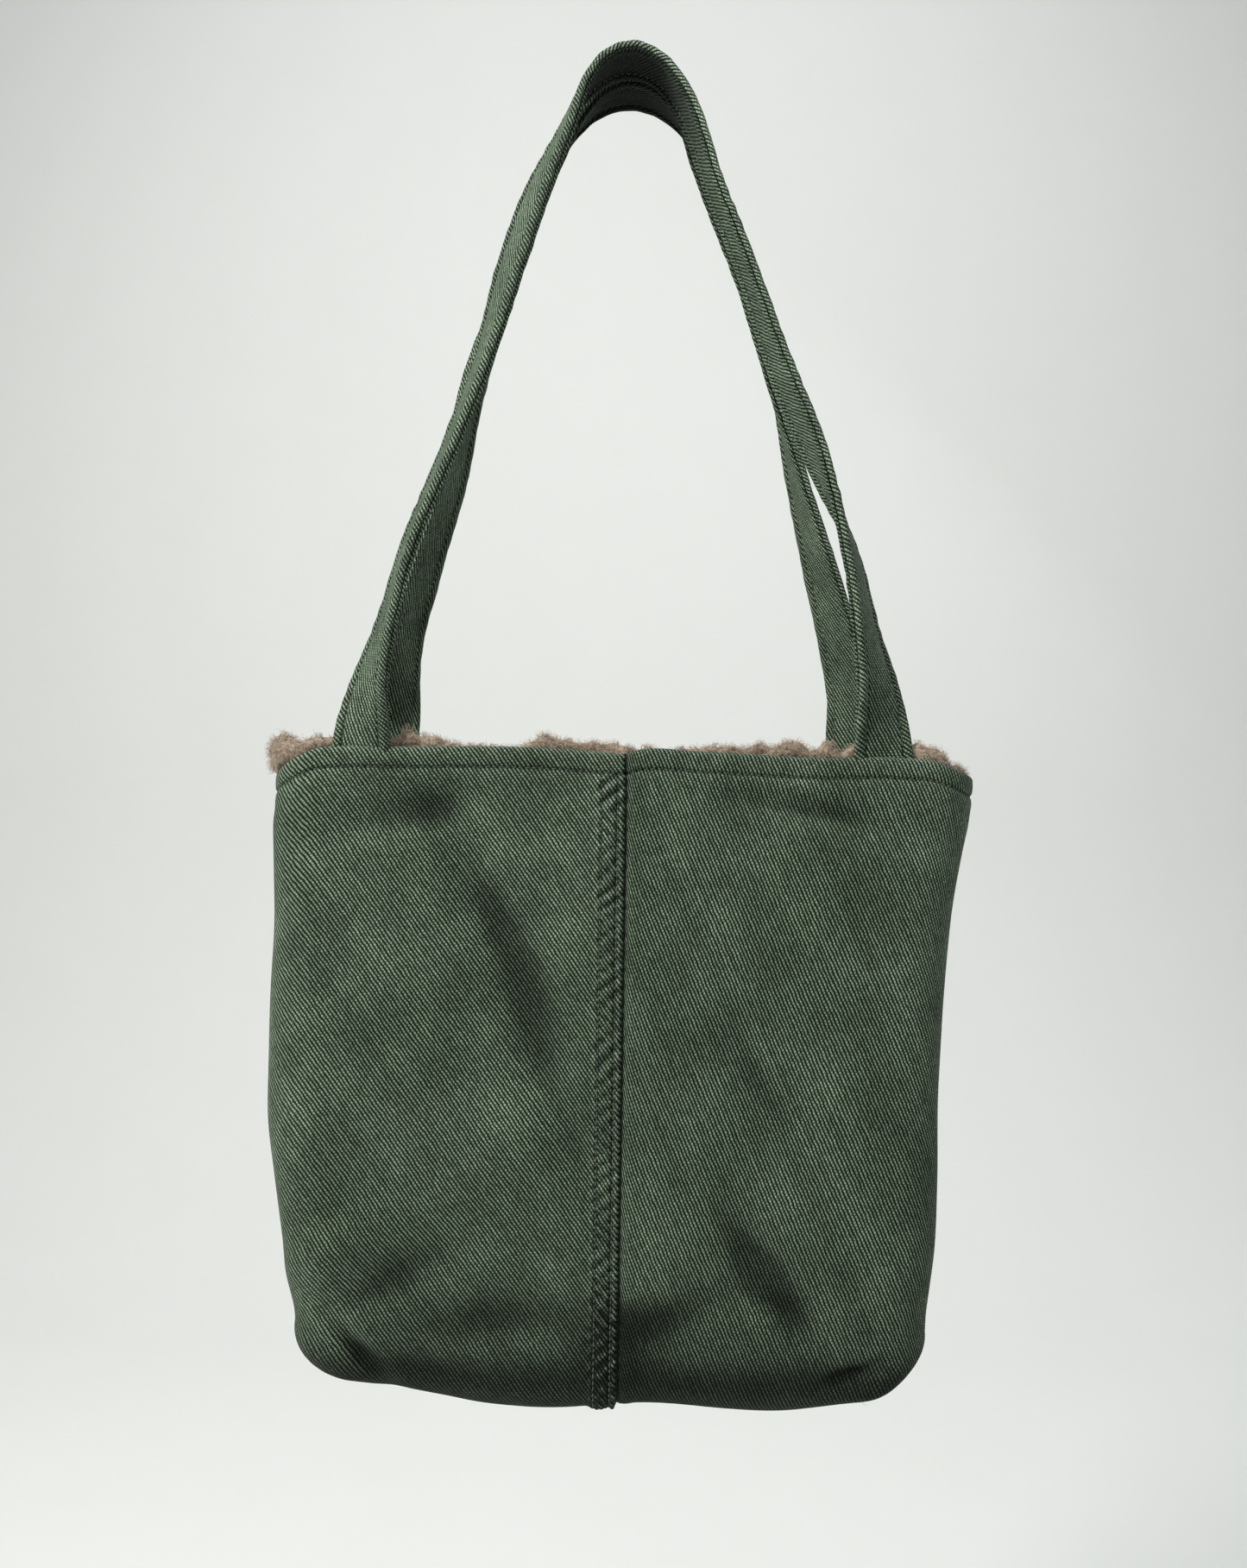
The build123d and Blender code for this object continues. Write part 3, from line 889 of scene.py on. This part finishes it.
def rim_row(panel):
    """Points along a panel's rim groove, from its centre seam out to its side seam."""
    data = panel_rim[panel]
    kept = [i for i, row in enumerate(data["rows"]) if row[2] == 0 and row[0] == "wall"]
    downs = data["down"][kept[0]:kept[-1], 0]
    i = kept[0] + int(np.argmin(np.abs(downs - RIM_BAND)))
    columns = data["columns"] > (0 if has_fold(data["side"], data["face"]) else 2.0)
    return data["outer"][i][columns], data["normal"][i][columns]


def fold_row(panel, offset):
    """Points down a felled seam at an offset from its folded edge, from the rim band to the base."""
    data = panel_rim[panel]
    j = int(np.argmin(np.abs(data["columns"] - offset)))
    down = data["down"][:, j]
    turned = np.array([row[2] for row in data["rows"]])
    kept = (turned == 0) & (down > RIM_BAND + 1.5) & (np.array([row[0] for row in data["rows"]]) != "base")
    return data["outer"][kept, j], data["normal"][kept, j]


def make_stitches():
    rim = stitch_mesh("rim_stitches", [rim_row(panel) for panel in PANELS], thread)
    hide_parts("rim_topstitch")
    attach(rim, "bag")
    for face, panel in (("front", "outer_front_left"), ("back", "outer_back_right")):
        seam = stitch_mesh(face + "_seam_stitches", [fold_row(panel, offset) for offset in FOLD_ROWS], thread)
        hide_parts(face + "_seam_topstitch")
        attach(seam, "bag")
    for name in LEGS:
        strap, (_, place, across, out) = make_strap(name)
        rows = []
        shown = (place[:, 2] > strap_z - 4)
        for edge in (-1, 1):
            reach = edge * (STRAP_WIDTH / 2 - STRAP_ROW)
            for face_sign, height in ((1, STRAP_THICK / 2 - 0.42), (-1, STRAP_THICK / 2 - 0.15)):
                line = place + across * reach + out * face_sign * height
                rows.append((line[shown], face_sign * out[shown]))
        stitches = stitch_mesh(name + "_stitches", rows, thread)
        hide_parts(name + "_topstitch")
        for piece in (strap, stitches):
            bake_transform(piece)


make_stitches()

# ---------------------------------------------------------------- pile lining


def lining_surface(face, inset, top_drop):
    """Grid over half the inside of the bag: a face, half of both sides and half of the base."""
    share = np.linspace(-1, 1, 250)
    side = np.where(share < 0, -1, 1)
    rows = [("wall", t) for t in np.linspace(0, 1, 118)]
    rows += [("arc", t) for t in np.linspace(0, 1, 8)[1:]] + [("base", t) for t in np.linspace(0, 1, 16)[1:]]
    grid = np.zeros((len(rows), len(share), 3))
    for one in (-1, 1):
        pick = side == one
        part = np.abs(share[pick])
        rim_x, _ = section(one, face, part * quadrant_length(one, rim_z)[2], rim_z)
        top = curve(RIM_LINE, rim_x) - top_drop
        low_x, _ = section(one, face, part * quadrant_length(one, base_z + 20)[2], base_z + 20)
        bottom = base_height(low_x) + inset + BASE_ROUND
        for i, (kind, t) in enumerate(rows):
            turn = math.pi / 2 * (t if kind == "arc" else (0 if kind == "wall" else 1))
            z = top + (bottom - top) * t if kind == "wall" else bottom - BASE_ROUND * math.sin(turn)
            level = np.maximum(z, bottom)
            out = part * quadrant_length(one, level)[2]
            x, y = section(one, face, out, level)
            full = quadrant_length(one, level)
            angle = np.clip((out - full[0]) / curve(CORNER, level_share(level)), 0, math.pi / 2)
            pull = inset + BASE_ROUND * (1 - math.cos(turn))
            x = x - one * pull * np.sin(angle)
            x = x + one * side_shape(one, y, level) * smooth(np.abs(x), 110, 160)
            y = face * np.maximum(face * y - pull * np.cos(angle), 0.15)
            if kind == "base":
                y = face * np.maximum(face * y * (1 - t), 0.15)
            grid[i, pick] = np.stack([x, y, z + 0 * x], -1)
    follow = broad_shape(face, grid[..., 0], grid[..., 2]) * smooth(grid[0, :, 2] - grid[..., 2], *SETTLE)
    return grid - grid_normals(grid, face) * follow[..., None]


def curl_height(points):
    """Lumpy surface of the pressed curls."""
    flat = points.reshape(-1, 3)
    out = np.empty(len(flat))
    for i, p in enumerate(flat):
        low = noise.noise(Vector(p * 0.16))
        high = noise.noise(Vector(p * 0.42 + 9.0))
        out[i] = 1.3 * low + 0.9 * abs(high)
    return out.reshape(points.shape[:2])


def make_lining(name):
    face = -1 if name == "lining_front" else 1
    backing = lining_surface(face, LINING_DEPTH - PILE_BASE, 2.4)
    pile = lining_surface(face, LINING_DEPTH, 1.6)
    normal = grid_normals(pile, face)
    rows = pile.shape[0]
    calm = (smooth(np.arange(rows), 0, 5) * (1 - smooth(np.arange(rows), rows - 6, rows - 1)))[:, None]
    columns = pile.shape[1]
    ends = smooth(np.arange(columns), 0, 5) * (1 - smooth(np.arange(columns), columns - 6, columns - 1))
    inner = pile + normal * (curl_height(pile) * (0.35 + 0.65 * calm) * ends[None, :])[..., None]
    vertices, faces = closed_sheet(backing, inner, face < 0)
    obj = new_object(name + "_pile", vertices, faces, material=pile_ground)
    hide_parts(name)
    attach(obj, "bag")
    return inner, normal


SEGMENTS = 5


def make_fibres(name, roots, normals, lengths, radius):
    """Curled fibres as thin closed tubes with three sides, in clumps that lean together."""
    count = len(roots)
    clump = np.floor(roots / 4.2).astype(int)
    key = (clump[:, 0] * 73856093) ^ (clump[:, 1] * 19349663) ^ (clump[:, 2] * 83492791)
    spread = np.stack([np.sin(key * 0.7391 + k * 2.1) for k in range(3)], 1)
    heading = normals + 0.75 * spread + rng.normal(0, 0.28, (count, 3))
    heading /= np.linalg.norm(heading, axis=1, keepdims=True)
    aside = np.cross(heading, rng.normal(0, 1, (count, 3)))
    aside /= np.linalg.norm(aside, axis=1, keepdims=True)
    other = np.cross(heading, aside)
    curl = rng.uniform(0.16, 0.36, count) * lengths
    turns = rng.uniform(0.6, 1.5, count) * math.tau * np.where(rng.random(count) < 0.5, -1, 1)
    droop = rng.uniform(0.0, 0.35, count) * lengths
    line = np.zeros((count, SEGMENTS + 1, 3))
    for k in range(SEGMENTS + 1):
        t = k / SEGMENTS
        swirl = curl * t
        line[:, k] = (roots + heading * (lengths * (t - 0.25 * t * t))[:, None]
                      + aside * (swirl * (np.cos(turns * t) - 1))[:, None]
                      + other * (swirl * np.sin(turns * t))[:, None])
        line[:, k, 2] -= droop * t * t
    tangent = np.gradient(line, axis=1)
    tangent /= np.linalg.norm(tangent, axis=2, keepdims=True)
    u = np.cross(tangent, aside[:, None, :] + 0.01)
    u /= np.linalg.norm(u, axis=2, keepdims=True)
    v = np.cross(tangent, u)
    taper = np.linspace(1.0, 0.35, SEGMENTS + 1)
    rings = []
    for corner in range(3):
        turn = math.tau * corner / 3
        rings.append(line + (u * math.cos(turn) + v * math.sin(turn)) * (radius * taper)[None, :, None])
    points = np.stack(rings, axis=2)
    per = (SEGMENTS + 1) * 3
    base = (np.arange(count) * per)[:, None, None]
    index = np.arange(per).reshape(SEGMENTS + 1, 3)
    around = np.roll(index, -1, axis=1)
    quads = np.stack([index[:-1], around[:-1], around[1:], index[1:]], -1).reshape(1, -1, 4) + base
    caps = np.array([[index[0][2], index[0][1], index[0][0]], index[-1]]).reshape(1, 2, 3) + base
    tone = rng.choice(4, count, p=[0.36, 0.30, 0.22, 0.12])
    faces = [quads.reshape(-1, 4), caps.reshape(-1, 3)]
    indices = np.concatenate([np.repeat(tone, SEGMENTS * 3), np.repeat(tone, 2)])
    obj = new_object(name, points.reshape(-1, 3), faces, material=fibres, indices=indices)
    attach(obj, "bag")
    return obj


def scatter(inner, normal, first_row, last_row, count):
    """Random places on a grid between two rows, with their normals, even by area."""
    a = inner[first_row:last_row]
    n = normal[first_row:last_row]
    da = np.linalg.norm(np.diff(a, axis=0)[:, :-1], axis=2) * np.linalg.norm(np.diff(a, axis=1)[:-1], axis=2)
    cell = rng.choice(da.size, count, p=(da / da.sum()).ravel())
    i, j = np.unravel_index(cell, da.shape)
    s, t = rng.random((2, count, 1))
    place = ((a[i, j] * (1 - s) + a[i + 1, j] * s) * (1 - t)
             + (a[i, j + 1] * (1 - s) + a[i + 1, j + 1] * s) * t)
    return place, n[i, j]


# How far the pile stands over the rim along the front; the back stands lower
BROW = [(-180, 13.5), (-168, 12.5), (-158, 9.5), (-149, 6.5), (-138, 5), (-120, 5.5), (-110, 7), (-100, 6.5),
        (-92, 4.5), (-84, 1.8), (-70, -1.5), (-56, -2), (-48, 1.2),
        (-41, 4.6), (-20, 4.8), (-4, 5.2), (3, 4.0),
        (9, -3), (28, -3), (38, 1.6), (50, 3.8), (70, 4.4), (95, 5.8), (113, 6.2), (130, 6), (144, 7),
        (155, 6), (165, 4.5), (180, 3)]
BROW_RING = 14
STRAP_FOOT_X = 128.0


def make_brow(name, face):
    """The thick roll of pile that stands along the inside of the rim, as a lumpy closed tube."""
    surface = lining_surface(face, LINING_DEPTH + 1.0, 0)
    spine = surface[0]
    away = grid_normals(surface, face)[0]
    away[:, 2] = 0
    away /= np.linalg.norm(away, axis=1, keepdims=True)
    height = curve(BROW, spine[:, 0] if face < 0 else -spine[:, 0])
    tufts = 1 + 0.35 * waves(spine[:, 0], spine[:, 1], 13, 71 if face < 0 else 72)
    near_side = smooth(np.abs(spine[:, 1]), 0, 14)
    if face < 0:
        height = height * tufts
    else:
        height = np.minimum(0.4 * height * tufts, 3.2) * near_side + 3.0 * (1 - near_side)
    height = np.where(spine[:, 0] < -150, np.maximum(height, 6.5), height)
    radius = 1.7 + 0.20 * height
    bulge = 5.0 * smooth(-spine[:, 0], 150, 168) - 4.6 * bump(np.abs(spine[:, 0]), STRAP_FOOT_X, 20)
    centre = spine - away * bulge[:, None]
    centre[:, 2] += height - radius - 0.5
    rings = []
    for corner in range(BROW_RING):
        turn = math.tau * corner / BROW_RING
        way = away * math.cos(turn) + np.array([[0, 0, 1]]) * math.sin(turn)
        stretch_down = 1.9 if math.sin(turn) < 0 else 1.0
        ring_reach = away * math.cos(turn) + np.array([[0, 0, 1]]) * math.sin(turn) * stretch_down
        rings.append((way, centre + radius[:, None] * ring_reach))
    way = np.stack([ring[0] for ring in rings], 1)
    points = np.stack([ring[1] for ring in rings], 1)
    points = points + way * (0.75 * curl_height(points))[..., None]
    count = len(spine)
    index = np.arange(count * BROW_RING).reshape(count, BROW_RING)
    around = np.roll(index, -1, axis=1)
    quads = np.stack([index[:-1], index[1:], around[1:], around[:-1]], -1).reshape(-1, 4)
    faces = [quads, index[:1, ::-1], index[-1:]]
    if face < 0:
        faces = [some[:, ::-1] for some in faces]
    obj = new_object(name + "_brow", points.reshape(-1, 3), faces, material=pile_ground)
    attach(obj, "bag")
    return points, way


def make_pile():
    for name in ("lining_front", "lining_back"):
        face = -1 if name == "lining_front" else 1
        inner, normal = make_lining(name)
        points, way = make_brow(name, face)
        for part, (low, high) in enumerate(((0, 125), (124, 250))):
            place, away = scatter(points[low:high], way[low:high], 0, high - low - 1, 4300)
            by_strap = np.abs(np.abs(place[:, 0]) - STRAP_FOOT_X) < 19
            kept = (away[:, 2] > -0.55) & ~(by_strap & (np.abs(place[:, 1]) > 31.5))
            place, away = place[kept], away[kept]
            lengths = rng.uniform(2.2, 5.2, len(place))
            make_fibres(f"{name}_brow_curls_{part}", place, away + np.array([[0, 0, 0.25]]), lengths, 0.11)
        place, away = scatter(inner, normal, 2, 26, 4600)
        make_fibres(name + "_upper_curls", place, away, rng.uniform(4, 8, len(place)), 0.15)
        place, away = scatter(inner, normal, 26, len(inner) - 6, 5200)
        make_fibres(name + "_lower_curls", place, away, rng.uniform(6, 10, len(place)), 0.17)


make_pile()


# ---------------------------------------------------------------- floor, light and camera


def make_stage():
    """A pale sweep: a floor well below the hanging bag that curves up into a far wall."""
    n = Nodes("pale_sweep")
    place = n.add("ShaderNodeTexCoord").outputs["Object"]
    grain = n.noise(place, 9.0, 3.0)
    n.put(n.shader.inputs["Base Color"], n.mix(grain, rgb(0.78, 0.79, 0.775), rgb(0.80, 0.81, 0.795)))
    n.shader.inputs["Roughness"].default_value = 0.9
    floor_z, back_y, radius = base_z - 620, 2300.0, 900.0
    profile = [(-4000.0, floor_z), (back_y - radius, floor_z)]
    for step in range(1, 24):
        angle = math.pi / 2 * step / 24
        profile.append((back_y - radius + radius * math.sin(angle), floor_z + radius * (1 - math.cos(angle))))
    profile += [(back_y, floor_z + radius), (back_y, 3200.0)]
    across = np.array([-4200.0, 4200.0])
    grid = np.array([[(x, y, z) for x in across] for y, z in profile])
    sweep = new_object("floor_sweep", grid.reshape(-1, 3), grid_faces(len(profile), 2), material=n.material)


def area_light(name, place, target, size, power, colour):
    data = bpy.data.lights.new(name, "AREA")
    data.shape = "DISK"
    data.size = size
    data.energy = power
    data.color = colour
    light = bpy.data.objects.new(name, data)
    bpy.context.scene.collection.objects.link(light)
    light.visible_camera = False
    direction = np.array(target, float) - np.array(place, float)
    back = -direction / np.linalg.norm(direction)
    right = np.cross((0, 0, 1), back)
    right /= np.linalg.norm(right)
    up = np.cross(back, right)
    frame_rows = [[*row, p] for row, p in zip(np.array([right, up, back]).T, place)]
    light.matrix_world = Matrix(frame_rows + [[0, 0, 0, 1]])


def make_lights():
    """A big soft key from the upper left, a pale room that is darker underfoot, and a washed wall."""
    world = bpy.data.worlds.new("pale_room")
    world.use_nodes = True
    nodes, links = world.node_tree.nodes, world.node_tree.links
    background = nodes["Background"]
    background.inputs[0].default_value = rgb(0.97, 1.0, 0.98)
    place = nodes.new("ShaderNodeTexCoord")
    parts = nodes.new("ShaderNodeSeparateXYZ")
    fade = nodes.new("ShaderNodeMapRange")
    for key, value in ((1, -0.4), (2, 0.8), (3, 0.04), (4, 0.40)):
        fade.inputs[key].default_value = value
    links.new(place.outputs["Generated"], parts.inputs[0])
    links.new(parts.outputs[2], fade.inputs[0])
    seen = nodes.new("ShaderNodeLightPath")
    pale = nodes.new("ShaderNodeMix")
    links.new(seen.outputs["Is Camera Ray"], pale.inputs[0])
    links.new(fade.outputs[0], pale.inputs[2])
    pale.inputs[3].default_value = 0.68
    links.new(pale.outputs[0], background.inputs[1])
    bpy.context.scene.world = world
    area_light("key", (-1.35, -1.10, 0.75), (0, 0, -0.45), 0.6, 50.0, (1.0, 0.985, 0.955))
    area_light("fill", (1.6, -1.4, 0.0), (0, 0, -0.4), 1.4, 3.0, (0.93, 0.97, 1.0))
    area_light("rear", (1.3, 1.5, 0.9), (0, 0, -0.4), 1.2, 6.0, (0.95, 0.98, 1.0))
    area_light("wall_wash", (0, 0.6, 1.2), (0, 2.3, -0.4), 3.4, 26.0, (0.98, 1.0, 0.985))


def make_camera():
    """In front of the bag at about the middle of its height, rolled a little as a hand holds it."""
    data = bpy.data.cameras.new("camera")
    data.lens = 36 * 1445 / 1817
    data.clip_start = 0.02
    camera = bpy.data.objects.new("camera", data)
    bpy.context.scene.collection.objects.link(camera)
    roll = 0.01516
    right = (math.cos(roll), 0, math.sin(roll))
    up = (-math.sin(roll), 0, math.cos(roll))
    place = (0.0016, -0.650, -0.366)
    frame_rows = [[right[i], up[i], (0, -1, 0)[i], place[i]] for i in range(3)]
    camera.matrix_world = Matrix(frame_rows + [[0, 0, 0, 1]])
    bpy.context.scene.camera = camera


make_stage()
make_lights()
make_camera()
bpy.context.scene.view_settings.view_transform = "Standard"
